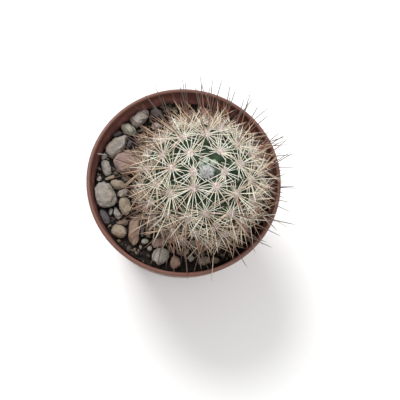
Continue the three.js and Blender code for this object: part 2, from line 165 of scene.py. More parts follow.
class SoilSettings(bpy.types.PropertyGroup):
    level: length("Level", SOIL_TOP / MM, "Height of the soil")
    roughness: length("Roughness", 0.28, "How far the surface rises and falls")
    crumbs: count("Crumbs", 1900, "Loose crumbs of bark and peat")
    crumb_least: length("Smallest crumb", 0.35, "Length of the smallest crumb")
    crumb_most: length("Largest crumb", 1.5, "Length of the largest crumb")
    grit: count("Grit", 1300, "Grains of fine grit between the stones")
    grit_least: length("Smallest grain", 0.4, "Length of the smallest grain")
    grit_most: length("Largest grain", 2.1, "Length of the largest grain")
    dark: colour("Dark", (0.0085, 0.0072, 0.0070), "Damp soil")
    light: colour("Light", (0.040, 0.029, 0.022), "Dry crumbs")


class GravelSettings(bpy.types.PropertyGroup):
    swell: share("Swell", 0.1, "Unevenness of a stone against its size")
    pitting: length("Pitting", 0.035, "Depth of the fine pits")
    grey: colour("Grey", (0.325, 0.292, 0.262), "Grey stone")
    pale: colour("Pale", (0.40, 0.395, 0.325), "Pale stone")
    tan: colour("Tan", (0.305, 0.242, 0.182), "Tan stone")
    pink: colour("Pink", (0.345, 0.248, 0.218), "Pinkish stone")
    orange: colour("Orange", (0.268, 0.185, 0.137), "Orange-brown stone")
    brown: colour("Brown", (0.20, 0.145, 0.108), "Brown stone")
    slate: colour("Slate", (0.095, 0.085, 0.092), "Dark slate")


class PlantSettings(bpy.types.PropertyGroup):
    x: length("X", 4.6, "Distance of the plant from the pot's middle to the right")
    y: length("Y", -0.9, "Distance of the plant from the pot's middle to the back")
    z: length("Z", 48.4, "Height of the body's widest part")
    valley: length("Valley radius", 14.6, "Radius of the body between its tubercles")
    relief: length("Relief", 2.3, "Height of a tubercle over the valleys")
    upper: share("Upper half", 1.045, "Height of the upper half against its radius")
    lower: share("Lower half", 0.72, "Depth of the lower half against its radius")
    lean: angle("Lean", 6.88, "Tilt of the growing tip to the right")
    root_tip: length("Root tip", 28.0, "Height of the lowest end of the root")
    areoles: count("Areoles", 73, "Tubercles with an areole, from the tip down")
    start: share("Start", 0.285, "Share of a step between the tip and the first areole")
    step: share("Step", 0.02, "Drop in the cosine of the tip angle per areole")
    turn: angle("Turn", 137.43, "Turn between an areole and the next")
    first: angle("First areole", 114.6, "Azimuth of the youngest areole")
    reach: share("Reach", 0.22, "Angular radius of a tubercle in radians")
    green: colour("Green", (0.019, 0.046, 0.018), "Grown skin")
    # Painted shade: the valleys between the tubercles are painted this near-black green.
    painted_valley_shade: colour("Deep green", (0.006, 0.012, 0.006), "Skin in the valleys")
    young: colour("Young green", (0.33, 0.385, 0.31), "Skin of the young tubercles at the tip")
    # Corky skin at the soil, carried up the lower body as painted shade.
    cork_and_painted_shade: colour("Cork", (0.070, 0.048, 0.031), "Old skin at the soil")


class WoolSettings(bpy.types.PropertyGroup):
    pad_radius: length("Pad radius", 1.12, "Radius of the wool on an areole")
    pad_height: length("Pad height", 0.42, "Height of the wool on an areole")
    hairs: count("Hairs", 130, "Hairs on an areole")
    hair_length: length("Hair length", 0.75, "Length of a hair")
    hair_radius: length("Hair radius", 0.05, "Thickness of a hair at its root")
    crown_radius: length("Crown radius", 1.4, "Radius of the wool at the growing tip")
    crown_height: length("Crown height", 0.9, "Height of the wool at the growing tip")
    crown_hair_length: length("Crown hair length", 1.3, "Length of a hair at the growing tip")
    crown_hairs: count("Crown hairs", 800, "Hairs at the growing tip")
    pink: colour("Pink wool", (0.85, 0.73, 0.685), "Wool of a grown areole")
    white: colour("White wool", (0.90, 0.89, 0.87), "Wool of the growing tip")


class NeedleSettings(bpy.types.PropertyGroup):
    radials: count("Radials", 23, "Radial needles on a grown areole")
    old_radials: count("Old radials", 12, "Radial needles on an old areole")
    young_radials: count("Young radials", 18, "Radial needles on the youngest areole")
    radial_length: length("Radial length", 8.1, "Length of a grown radial that points down")
    upper_radials: share("Upper radials", 0.5, "Length of one that points up against that one")
    radial_radius: length("Radial thickness", 0.12, "Radius of a radial at its root")
    laterals: count("Laterals", 2, "Slanting needles on an areole beside those of the frame")
    lateral_length: length("Lateral length", 8.3, "Length of a grown slanting needle")
    lateral_radius: length("Lateral thickness", 0.125, "Radius of a slanting needle at its root")
    first_central: count("First central", 7, "Number of the youngest areole that has a central")
    centrals: share("Centrals", 0.5, "Share of areoles with a central beside that of the frame")
    central_length: length("Central length", 11.8, "Length of a grown central needle")
    central_radius: length("Central thickness", 0.165, "Radius of a central needle at its root")
    shed_foot: spot("Shed foot", (-24.6, 8.0, 46.2), "Where a shed needle leans on the pot's wall")
    shed_head: spot("Shed head", (-21.8, 8.1, 44.6), "Where a shed needle lies on the stones")
    sunk: length("Sunk", 0.6, "Length of a needle under the wool")
    setback: length("Setback", 0.5, "Distance of a needle's foot from its areole's middle")
    clear: length("Clear", 0.3, "Distance of a needle from stones, soil and pot")
    grown: count("Grown", 8, "Number of young areoles whose needles are still short")
    young_length: share("Young length", 0.45, "Length of the first needles against grown ones")
    bare_crown: length("Bare crown", 3.5, "Radius round the growing tip that no needle reaches over")
    cream: colour("Cream", (0.83, 0.76, 0.62), "Radials in their prime")
    fresh: colour("Fresh", (0.82, 0.835, 0.73), "Young radials")
    straw: colour("Straw", (0.58, 0.435, 0.30), "Old radials")
    # Reached by old radials, and as painted shade by some that point to the front.
    grey: colour("Grey", (0.25, 0.20, 0.155), "Old radials near the soil")
    foot: colour("Foot", (0.78, 0.64, 0.58), "Root end of a needle")
    # On slanting needles that point to the back this is painted light; on centrals it is a faint rust tint.
    rust_and_painted_light: colour("Rust", (0.47, 0.29, 0.17), "Middle of a slanting needle in strong light")
    bark: colour("Bark", (0.225, 0.092, 0.060), "Middle of a central")
    tip: colour("Tip", (0.034, 0.027, 0.027), "Tip of a central")


class StageSettings(bpy.types.PropertyGroup):
    distance: length("Distance", 320.0, "From the camera to the middle of the rim")
    elevation: angle("Elevation", 74.0, "Height of the camera over the horizon")
    azimuth: angle("Azimuth", 8.2, "Turn of the camera to the left of the pot's front")
    lens: share("Lens", 102.19, "Focal length in millimetres on a 36 mm sensor")
    picture: count("Picture", 400, "Width and height of the picture in pixels")
    rim_x: share("Rim X", 184.07, "Where the rim's middle lies in the picture, from the left")
    rim_y: share("Rim Y", 180.41, "Where the rim's middle lies in the picture, from the top")
    ground: colour("Ground", (0.92, 0.92, 0.915), "The pale ground")
    ground_radius: length("Ground radius", 3000, "Radius of the ground")
    sky: share("Sky", 0.70, "Brightness of the light from all round")
    key: share("Key", 5.4, "Power of the lamp at the back on the left, in watts")
    key_size: length("Key size", 420, "Width of that lamp")
    key_place: spot("Key place", (-220, 400, 640), "Where that lamp stands")
    fill: share("Fill", 1.6, "Power of the lamp in front on the right, in watts")
    fill_size: length("Fill size", 600, "Width of that lamp")
    fill_place: spot("Fill place", (500, -300, 500), "Where that lamp stands")


class PottedCactusSettings(bpy.types.PropertyGroup):
    pot: PointerProperty(type=PotSettings, name="Pot", description="Sizes and colours of the pot")
    soil: PointerProperty(type=SoilSettings, name="Soil", description="The soil and its crumbs")
    gravel: PointerProperty(type=GravelSettings, name="Gravel", description="The stones")
    plant: PointerProperty(type=PlantSettings, name="Plant", description="The plant's body")
    wool: PointerProperty(type=WoolSettings, name="Wool", description="Wool on the areoles")
    needles: PointerProperty(type=NeedleSettings, name="Needles", description="The needles")
    stage: PointerProperty(type=StageSettings, name="Stage", description="Ground, light and camera")


# ---------------------------------------------------------------- materials


def scaled(tint, factor, lift=0.0):
    """A colour made darker or lighter by a factor, and lifted evenly."""
    return [min(1, value * factor + lift) for value in tint]


class Finish:
    """A material that is painted layer on layer, from what its surface shows."""

    def __init__(self, name, tint, roughness, specular, **others):
        self.material = bpy.data.materials.new(name)
        self.material.use_nodes = True
        self.tree = self.material.node_tree
        self.shader = self.tree.nodes["Principled BSDF"]
        self.shader.inputs["Roughness"].default_value = roughness
        self.shader.inputs["Specular IOR Level"].default_value = specular
        for socket, value in others.items():
            self.shader.inputs[socket.replace("_", " ")].default_value = value
        self.place = self.node("ShaderNodeTexCoord").outputs["Object"]
        self.tint = tint

    def node(self, kind, inputs=None, **values):
        """Adds a node; an input that is another node's output is linked to it."""
        node = self.tree.nodes.new(kind)
        for key, value in values.items():
            setattr(node, key, value)
        for key, value in (inputs or {}).items():
            if isinstance(value, bpy.types.NodeSocket):
                self.tree.links.new(value, node.inputs[key])
            else:
                node.inputs[key].default_value = value
        return node

    def noise(self, size, detail=4.0, roughness=0.55, distortion=0.0):
        """Cloudy variation whose patches are about this long, in metres."""
        return self.node("ShaderNodeTexNoise", {
            "Vector": self.place, "Scale": 1 / size, "Detail": detail,
            "Roughness": roughness, "Distortion": distortion,
        }).outputs["Fac"]

    def patches(self, size, low, high, most=1.0, **kind):
        """Soft-edged patches of noise: 0 where it is under low, the most where it is over high."""
        return self.span(self.noise(size, **kind), low, high, 0.0, most)

    def cells(self, size):
        """Distance to the nearest of scattered points that are about this far apart."""
        inputs = {"Vector": self.place, "Scale": 1 / size}
        return self.node("ShaderNodeTexVoronoi", inputs).outputs["Distance"]

    def height(self):
        """Height of a place on the piece over the ground."""
        return self.node("ShaderNodeSeparateXYZ", {"Vector": self.place}).outputs["Z"]

    def from_axis(self):
        """Distance of a place on the piece from the pot's upright axis."""
        flat = self.vector("MULTIPLY", self.place, (1, 1, 0)).outputs[0]
        return self.vector("LENGTH", flat).outputs["Value"]

    def from_spot(self, middle):
        """Distance of a place on the piece from a spot."""
        return self.vector("DISTANCE", self.place, middle).outputs["Value"]

    def vector(self, operation, *values):
        """One sum with places."""
        return self.node("ShaderNodeVectorMath", dict(enumerate(values)), operation=operation)

    def attribute(self, name):
        """A value that the piece's own mesh carries."""
        return self.node("ShaderNodeAttribute", attribute_name=name).outputs["Fac"]

    def span(self, value, low, high, to_low=0.0, to_high=1.0):
        """Stretches the range from low to high over another, smoothly and clamped."""
        return self.node("ShaderNodeMapRange", {
            "Value": value, "From Min": low, "From Max": high, "To Min": to_low, "To Max": to_high,
        }, interpolation_type="SMOOTHSTEP").outputs["Result"]

    def product(self, value, *others):
        """Several values multiplied: high where they all are."""
        for other in others:
            value = self.node("ShaderNodeMath", {0: value, 1: other}, operation="MULTIPLY").outputs[0]
        return value

    def paint(self, layer, cover, blend="MIX"):
        """Lays a colour over those below, as strongly as the cover says."""
        under, over = (tint if isinstance(tint, bpy.types.NodeSocket) else (*tint, 1)
                       for tint in (self.tint, layer))
        self.tint = self.node("ShaderNodeMix", {0: cover, 6: under, 7: over},
                              data_type="RGBA", blend_type=blend).outputs[2]
        self.tree.links.new(self.tint, self.shader.inputs["Base Color"])

    def gloss(self, roughness):
        """Sets how rough the surface is from place to place."""
        self.tree.links.new(roughness, self.shader.inputs["Roughness"])

    def relief(self, *layers):
        """Raises the surface by layers of (height, depth in metres), and gives the material."""
        inputs = {"Strength": 1.0}
        for height, depth in layers:
            inputs |= {"Height": height, "Distance": depth}
            inputs["Normal"] = self.node("ShaderNodeBump", inputs).outputs["Normal"]
        self.tree.links.new(inputs["Normal"], self.shader.inputs["Normal"])
        return self.material


def plastic_finish(pot):
    """Moulded terracotta-coloured plastic: dusty outside with a painted highlight on the lip's top, and
    stained over the soil inside, where stain and silt are painted light on the shaded inner wall.
    """
    finish = Finish("terracotta_plastic", pot.plastic, 0.46, 0.38)
    clouds = finish.noise(9 * MM, detail=5)
    finish.paint(scaled(pot.plastic, 0.78), finish.span(clouds, 0.35, 0.7))
    finish.paint(pot.dust_and_painted_highlight, finish.patches(2.2 * MM, 0.52, 0.85, most=0.28, detail=8, roughness=0.7))
    height = finish.height()
    wall_middle = pot.collar_radius - 0.2 * MM  # parts the wall's two faces
    # Painted light: the inner wall over the soil lies in shade, so its stain and silt are painted far
    # lighter than the plastic.
    inside = finish.product(
        finish.span(finish.from_axis(), wall_middle - 0.1 * MM, wall_middle + 0.1 * MM, 1.0, 0.0),
        finish.span(height, SOIL_TOP - 1.5 * MM, SOIL_TOP - 0.5 * MM),
        finish.span(height, SOIL_TOP + 1 * MM, pot.height - pot.lip_radius, 1.0, 0.0),
    )
    finish.paint(pot.stain_and_painted_light, finish.product(
        inside,
        finish.span(finish.noise(3 * MM, detail=5), 0.38, 0.62, 0.3, 1.0),
    ))
    finish.paint(pot.silt_and_painted_light, finish.product(
        inside,
        finish.span(height, SOIL_TOP, SOIL_TOP + 3.5 * MM, 0.9, 0.0),
        finish.patches(2.4 * MM, 0.38, 0.6, detail=6),
    ))
    # Painted highlight: dust colour laid on the lip's top, where the lip catches the light.
    finish.paint(pot.dust_and_painted_highlight, finish.product(
        finish.span(height, pot.height - 0.7 * MM, pot.height - 0.05 * MM),
        finish.span(clouds, 0.3, 0.7, 0.0, 0.1),
    ))
    finish.gloss(finish.span(finish.noise(1.6 * MM, detail=6), 0.3, 0.75, 0.34, 0.6))
    return finish.relief(
        (finish.noise(5 * MM, detail=2), 0.05 * MM),
        (finish.noise(0.35 * MM, detail=3), 0.012 * MM),
    )


def soil_finish(soil):
    """Damp, crumbly peat and bark with dry fibres."""
    finish = Finish("potting_soil", soil.dark, 0.92, 0.25)
    crumbs = finish.noise(0.9 * MM, detail=8, roughness=0.7)
    finish.paint(soil.light, finish.span(crumbs, 0.42, 0.72))
    fibres = finish.patches(0.3 * MM, 0.62, 0.74, most=0.6, detail=2, distortion=1.5)
    finish.paint(scaled(soil.light, 2.2), fibres)
    return finish.relief((crumbs, 0.5 * MM), (finish.noise(0.18 * MM), 0.08 * MM))


def stone_finish(tone, base):
    """Worn gravel: cloudy mineral colour, dark and light grains, dull with fine pits."""
    finish = Finish(f"gravel_{tone}", scaled(base, 0.72), 0.82, 0.3)
    finish.paint(scaled(base, 1.12), finish.patches(2.4 * MM, 0.3, 0.7, detail=5, distortion=0.6))
    warm = (base[0] * 0.95, base[1] * 0.74, base[2] * 0.55)
    finish.paint(warm, finish.patches(4.5 * MM, 0.5, 0.72, most=0.5, detail=3))
    greenish = (base[0] * 0.74, base[1] * 0.86, base[2] * 0.74)
    finish.paint(greenish, finish.patches(3.6 * MM, 0.52, 0.68, most=0.4, distortion=0.4))
    grains = finish.cells(0.42 * MM)
    finish.paint(scaled(base, 0.35), finish.span(grains, 0.10, 0.26, 0.5, 0.0))
    finish.paint(scaled(base, 1.55, lift=0.05), finish.patches(0.22 * MM, 0.62, 0.72, most=0.55, detail=2))
    finish.paint(finish.attribute("shade"), 1.0, blend="MULTIPLY")
    return finish.relief(
        (finish.noise(0.8 * MM, detail=6, roughness=0.65), 0.12 * MM),
        (grains, 0.03 * MM),
    )


def skin_finish(plant, tip):
    """Waxy green skin: pale at the growing tip, with painted shade in the valleys, corky at the soil and
    darkened up the lower body as painted shade.
    """
    # Painted shade: the base colour stays in the valleys, where the tubercles are low.
    finish = Finish("cactus_skin", plant.painted_valley_shade, 0.5, 0.24, Subsurface_Weight=0.06,
                    Subsurface_Scale=0.6 * MM)
    height = finish.attribute("height")
    finish.paint(plant.green, finish.span(height, 0.1, 0.75))
    light = finish.patches(2.5 * MM, 0.3, 0.7, most=0.55)
    finish.paint(scaled(plant.green, 1.8), light)
    finish.paint(plant.young, finish.product(
        finish.span(finish.from_spot(tip), 2.0 * MM, 6.0 * MM, 0.13, 0.0),
        finish.span(height, 0.2, 0.8),
    ))
    finish.paint(plant.young, finish.span(finish.attribute("young"), 0.15, 0.75, 0.0, 0.95))
    # Painted shade: cork brown reaches 15 mm over the soil and darkens the lower body between the needles.
    finish.paint(plant.cork_and_painted_shade, finish.span(finish.height(), SOIL_TOP + 3 * MM, SOIL_TOP + 15 * MM, 0.85, 0.0))
    dots = finish.cells(0.34 * MM)
    finish.paint(scaled(plant.green, 2.6, lift=0.008), finish.span(dots, 0.12, 0.24, 0.35, 0.0))
    finish.gloss(finish.span(light, 0.0, 0.55, 0.45, 0.62))
    return finish.relief((finish.noise(0.6 * MM), 0.05 * MM), (dots, 0.015 * MM))


def wool_finish(name, tint, soiling):
    """Fine felted wool, lighter at the ends of its hairs, and soiled with age."""
    finish = Finish(name, tint, 0.95, 0.15, Sheen_Weight=0.4, Sheen_Roughness=0.5,
                    Subsurface_Weight=0.15, Subsurface_Scale=0.5 * MM)
    finish.paint(scaled(tint, 1.08), finish.span(finish.attribute("along"), 0.0, 0.9))
    finish.paint(scaled(tint, 0.72), finish.product(finish.attribute("age"), soiling))
    clumps = finish.noise(0.4 * MM, detail=5)
    finish.paint(scaled(tint, 0.7), finish.span(clumps, 0.35, 0.65, 0.7 * soiling, 0.0))
    return finish.relief((clumps, 0.08 * MM))


def radial_finish(needles):
    """Hard ivory needles: pinkish at the root, with age straw-coloured and brown at the tip; the age also
    holds painted shade on radials that point to the front.
    """
    finish = Finish("radial_needles", needles.fresh, 0.42, 0.4, Subsurface_Weight=0.08,
                    Subsurface_Scale=0.3 * MM)
    along, age = finish.attribute("along"), finish.attribute("age")
    # The age carries painted shade: radials that point to the front come out darker.
    finish.paint(needles.cream, finish.span(age, 0.0, 0.5))
    finish.paint(needles.straw, finish.span(age, 0.35, 0.75))
    finish.paint(needles.grey, finish.span(age, 0.6, 1.0))
    finish.paint(needles.foot, finish.span(along, 0.06, 0.3, 0.65, 0.0))
    finish.paint(needles.straw, finish.span(along, 0.7, 1.0, 0.0, 0.45))
    finish.paint(scaled(needles.cream, 0.62), finish.patches(0.5 * MM, 0.4, 0.7, most=0.35))
    finish.paint(needles.bark, finish.product(
        finish.span(along, 0.45, 1.0, 0.0, 0.85),
        finish.span(age, 0.2, 0.8),
    ))
    return finish.relief((finish.noise(0.15 * MM), 0.01 * MM))


def lateral_finish(needles):
    """Slanting needles: cream with a pinkish root, rust-coloured along their length with age, and as painted
    light on those that point to the back.
    """
    finish = Finish("lateral_needles", needles.cream, 0.4, 0.42)
    along, age = finish.attribute("along"), finish.attribute("age")
    finish.paint(needles.straw, finish.span(age, 0.0, 0.45))
    # Painted light and age: the rust is strongest on slanting needles that point to the back.
    finish.paint(needles.rust_and_painted_light, finish.span(age, 0.4, 1.0))
    finish.paint(needles.foot, finish.span(along, 0.05, 0.22, 0.6, 0.0))
    finish.paint(needles.bark, finish.span(along, 0.65, 1.0, 0.0, 0.75))
    finish.paint(scaled(needles.straw, 0.6), finish.patches(0.5 * MM, 0.4, 0.7, most=0.3))
    return finish.relief((finish.noise(0.15 * MM), 0.01 * MM))


def central_finish(needles):
    """Long needles: pale at the root, red-brown along their length, almost black at the tip."""
    finish = Finish("central_needles", needles.foot, 0.38, 0.45)
    along, age = finish.attribute("along"), finish.attribute("age")
    finish.paint(needles.bark, finish.span(along, 0.06, 0.32))
    finish.paint(needles.tip, finish.span(along, 0.3, 0.62))
    finish.paint(needles.rust_and_painted_light, finish.product(age, 0.2))
    finish.paint(scaled(needles.bark, 0.55), finish.patches(0.6 * MM, 0.4, 0.7, most=0.4))
    return finish.relief((finish.noise(0.2 * MM), 0.012 * MM))


def ground_finish(tint):
    """Plain pale card."""
    finish = Finish("pale_ground", tint, 0.9, 0.1)
    finish.paint(scaled(tint, 0.985), finish.noise(50 * MM))
    return finish.material


# ---------------------------------------------------------------- meshes


def add_piece(name, bm, material, slot=None, replaced=()):
    """Turns a bmesh into a piece; one with a slot is part of the object and rides with it."""
    mesh = bpy.data.meshes.new(name)
    bm.to_mesh(mesh)
    bm.free()
    mesh.polygons.foreach_set("use_smooth", [True] * len(mesh.polygons))
    mesh.materials.append(material)
    piece = bpy.data.objects.new(name, mesh)
    bpy.context.scene.collection.objects.link(piece)
    if slot:
        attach(piece, "root")
    if replaced:
        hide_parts(*replaced)
    return piece


def cad_copy(node):
    """A copy of a CAD node's mesh, with its loose triangles joined."""
    bm = bmesh.new()
    bm.from_mesh(frame["nodes"][node].data)
    bmesh.ops.remove_doubles(bm, verts=bm.verts, dist=JOINED)
    return bm


def spun(profile, steps):
    """Spins a profile of (radius, height) points round the upright axis into a closed shell."""
    bm = bmesh.new()
    points = [bm.verts.new((radius, 0, height)) for radius, height in profile]
    edges = [bm.edges.new(pair) for pair in zip(points, points[1:])]
    bmesh.ops.spin(bm, geom=points + edges, cent=(0, 0, 0), axis=UP, angle=FULL_TURN, steps=steps,
                   use_merge=True)
    bmesh.ops.remove_doubles(bm, verts=bm.verts, dist=JOINED)
    bmesh.ops.recalc_face_normals(bm, faces=bm.faces)
    return bm


def arc(middle, radius, start, end, steps):
    """Points of (radius, height) along an arc, from one angle to another in degrees."""
    points = []
    for step in range(steps + 1):
        turn = math.radians(start + (end - start) * step / steps)
        points.append((middle[0] + radius * math.cos(turn), middle[1] + radius * math.sin(turn)))
    return points


def repeated(template, placings):
    """One bmesh with a copy of a template for each (move, age); move takes a point to its place."""
    bm = bmesh.new()
    for _ in placings:
        bm.from_mesh(template)
    along = bm.verts.layers.float.new("along")
    ages = bm.verts.layers.float.new("age")
    points = iter(bm.verts)
    for move, age in placings:
        for _ in range(len(template.vertices)):
            point = next(points)
            point[along] = point.co.z
            point[ages] = age
            point.co = move(point.co)
    return bm


def template_mesh(bm):
    """A mesh that is only copied from."""
    mesh = bpy.data.meshes.new("template")
    bm.to_mesh(mesh)
    bm.free()
    return mesh


def spike_template(sides, rings):
    """A spike of height 1 and radius 1 at its foot, from (radius, height) rings."""
    return template_mesh(spun([(0, 0), *rings, (0, 1)], sides))


def ball_template(subdivisions):
    """A ball of radius 1."""
    bm = bmesh.new()
    bmesh.ops.create_icosphere(bm, subdivisions=subdivisions, radius=1)
    return template_mesh(bm)


def across(direction):
    """Two directions square to a direction and to each other."""
    side = direction.orthogonal().normalized()
    return side, direction.cross(side).normalized()


def spike_move(root, direction, length_now, radius, bow=Vector()):
    """Takes a spike template to its root, direction and size, bowed sideways by a vector."""
    side, ahead = across(direction)

    def move(point):
        sag = bow * (math.sin(math.pi * 0.5 * point.z) ** 2)
        return (root + direction * (point.z * length_now) + sag
                + side * (point.x * radius) + ahead * (point.y * radius))

    return move


def applied(piece):
    """Applies a piece's modifiers to its mesh."""
    graph = bpy.context.evaluated_depsgraph_get()
    mesh = bpy.data.meshes.new_from_object(piece.evaluated_get(graph))
    piece.modifiers.clear()
    piece.data = mesh
    return piece


# ---------------------------------------------------------------- the plant's plan


def plant_middle(plant):
    """The middle of the plant's body."""
    return Vector((plant.x, plant.y, plant.z))


def leaning(plant, from_tip, azimuth):
    """The direction at an angle from the growing tip and an azimuth round it."""
    out = math.sin(from_tip)
    upright = Vector((out * math.cos(azimuth), out * math.sin(azimuth), math.cos(from_tip)))
    return Matrix.Rotation(plant.lean, 3, "Y") @ upright


def areole_directions(plant):
    """Direction from the body's middle to each areole, youngest first."""
    directions = []
    for index in range(plant.areoles):
        drift = math.radians(DRIFTS[index]) if index < len(DRIFTS) else 0
        from_tip = math.acos(1 - (index + plant.start) * plant.step) - drift
        directions.append(leaning(plant, from_tip, plant.first - index * plant.turn))
    return directions


def on_body(plant, direction, distance):
    """The place on the squashed body that lies in a direction at a distance."""
    squash = plant.upper if direction.z > 0 else plant.lower
    return plant_middle(plant) + Vector((direction.x, direction.y, direction.z * squash)) * distance


def body_normal(plant, direction):
    """The way out of the squashed body in a direction."""
    squash = plant.upper if direction.z > 0 else plant.lower
    return Vector((direction.x, direction.y, direction.z / squash)).normalized()


def wheel_axes(normal):
    """Directions on the skin round an areole: level, and up towards the growing tip."""
    level = UP.cross(normal).normalized()
    return level, normal.cross(level)


def smooth_step(value, low, high):
    """0 below low, 1 above high and smooth between."""
    x = min(1, max(0, (value - low) / (high - low)))
    return x * x * (3 - 2 * x)


def inside_wall(pot, z):
    """Inside radius of the pot's wall at a height."""
    lip_foot = pot.height - pot.lip_radius
    top_inside = pot.rim_radius - 2 * pot.lip_radius
    if z > pot.collar_foot:
        part = min(1, (z - pot.collar_foot) / (lip_foot - pot.collar_foot))
        return pot.collar_inside + (top_inside - pot.collar_inside) * part
    part = (z - pot.floor) / (pot.collar_foot - pot.floor)
    return pot.base_radius - pot.wall + (pot.collar_inside - pot.base_radius + pot.wall) * part


# ---------------------------------------------------------------- operators


class CACTUS_OT_pot(bpy.types.Operator):
    """Make the moulded pot with its rolled lip, collar and drain holes"""

    bl_idname = "cactus.pot"
    bl_label = "Make Pot"

    step = 0.35 * MM  # rounding of the step under the collar
    corner = 1.2 * MM  # rounding inside, where the wall meets the floor
    lean = 0.1 * MM  # how far the wall leans out near the step
    crease = 50  # degrees between two faces from which their edge is sharp

    def profile(self, pot):
        """Outline from the middle of the underside, over the lip, to the middle of the floor."""
        outside = pot.collar_inside + pot.wall
        lip_middle = (pot.rim_radius - pot.lip_radius, pot.height - pot.lip_radius)
        base_corner = (pot.base_radius - pot.edge_radius, pot.edge_radius)
        inner_corner = (pot.base_radius - pot.wall - self.corner, pot.floor + self.corner)
        return [
            (0, 0),
            (pot.base_radius * 0.8, 0),
            *arc(base_corner, pot.edge_radius, -90, -5, 5),
            (outside - self.lean, pot.collar_foot - 3 * MM),
            *arc((outside + self.step, pot.collar_foot - self.step), self.step, 170, 100, 3),
            *arc((pot.collar_radius - self.step, pot.collar_foot + self.step * 0.6), self.step, -60, 5, 4),
            (lip_middle[0] - 0.25 * MM, lip_middle[1] - 2.2 * pot.lip_radius),
            *arc(lip_middle, pot.lip_radius, -65, 190, 14),
            (pot.collar_inside + self.lean, pot.collar_foot + 0.4 * MM),
            (pot.collar_inside - self.lean, pot.collar_foot - 0.6 * MM),
            *arc(inner_corner, self.corner, 0, -90, 4),
            (0, pot.floor),
        ]

    def drills(self, pot):
        """The drain holes as one mesh of upright rods."""
        bm = bmesh.new()
        for hole in range(pot.drain_count):
            turn = FULL_TURN * hole / pot.drain_count
            place = Matrix.Translation((pot.drain_ring * math.cos(turn), pot.drain_ring * math.sin(turn), 0))
            bmesh.ops.create_cone(bm, cap_ends=True, segments=40, radius1=pot.drain_radius,
                                  radius2=pot.drain_radius, depth=4 * pot.floor, matrix=place)
        return bm

    def execute(self, context):
        pot = context.scene.potted_cactus.pot
        plastic = plastic_finish(pot)
        shell = spun(self.profile(pot), pot.facets)
        piece = add_piece("pot_shell", shell, plastic, NODE_SLOTS["pot"], ["pot"])
        drills = add_piece("drills", self.drills(pot), plastic)
        holes = piece.modifiers.new("drain_holes", "BOOLEAN")
        holes.operation = "DIFFERENCE"
        holes.solver = "EXACT"
        holes.object = drills
        faces = len(piece.data.polygons)
        applied(piece)
        bpy.data.objects.remove(drills)
        if len(piece.data.polygons) <= faces:
            raise RuntimeError("the drain holes were not cut")
        piece.data.polygons.foreach_set("use_smooth", [True] * len(piece.data.polygons))
        piece.data.set_sharp_from_angle(angle=math.radians(self.crease))
        return {"FINISHED"}


